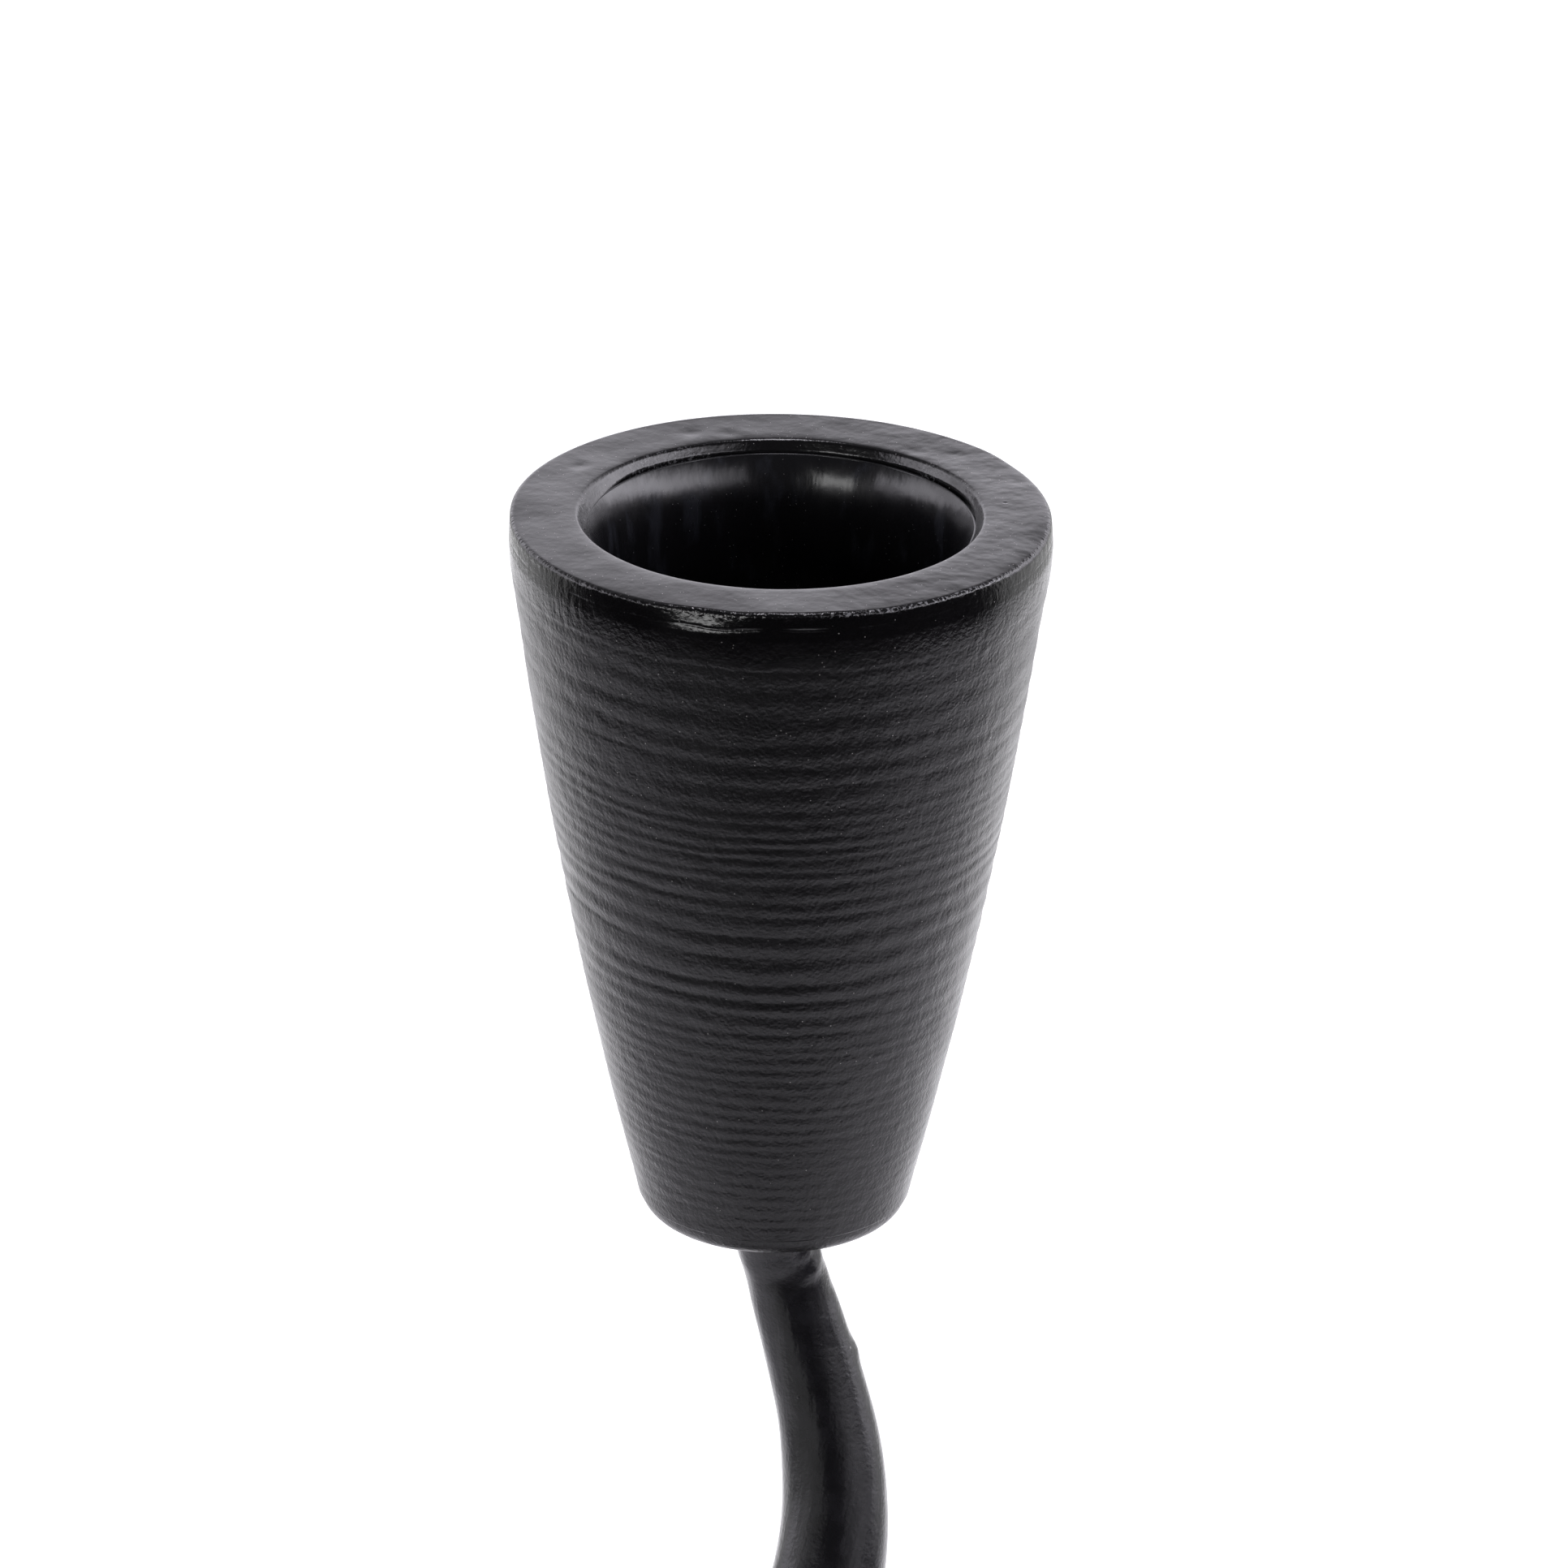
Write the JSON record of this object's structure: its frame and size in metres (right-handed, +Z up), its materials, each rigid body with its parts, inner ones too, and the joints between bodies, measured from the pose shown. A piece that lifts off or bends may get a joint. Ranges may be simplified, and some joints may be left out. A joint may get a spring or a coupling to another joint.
{
  "type": "spiral candle holder",
  "caption": "Black cast candle holder: a ringed conical cup with a lined socket, on a tapering rod that winds down in an open spiral and lands as its own ring foot.",
  "frame": {"origin": "on the table, under the axis of the cup, which is the centre of the ring foot", "axes": "+Z up along the axis of the candle; the front of the picture is towards -Y, and +X is to its right"},
  "size_m": [0.0904, 0.0904, 0.1597],
  "materials": {
    "cup_paint": "satin",
    "stem_paint": "satin",
    "liner_enamel": "gloss",
    "zinc_steel": "satin",
    "felt": "matte"
  },
  "bodies": {
    "root": {"candle_cup": "cup_paint", "socket_liner": "liner_enamel", "spiral_stem": "stem_paint", "clamp_washer": "zinc_steel", "clamp_nut": "zinc_steel", "felt_pad_1": "felt", "felt_pad_2": "felt", "felt_pad_3": "felt"}
  },
  "joints": []
}
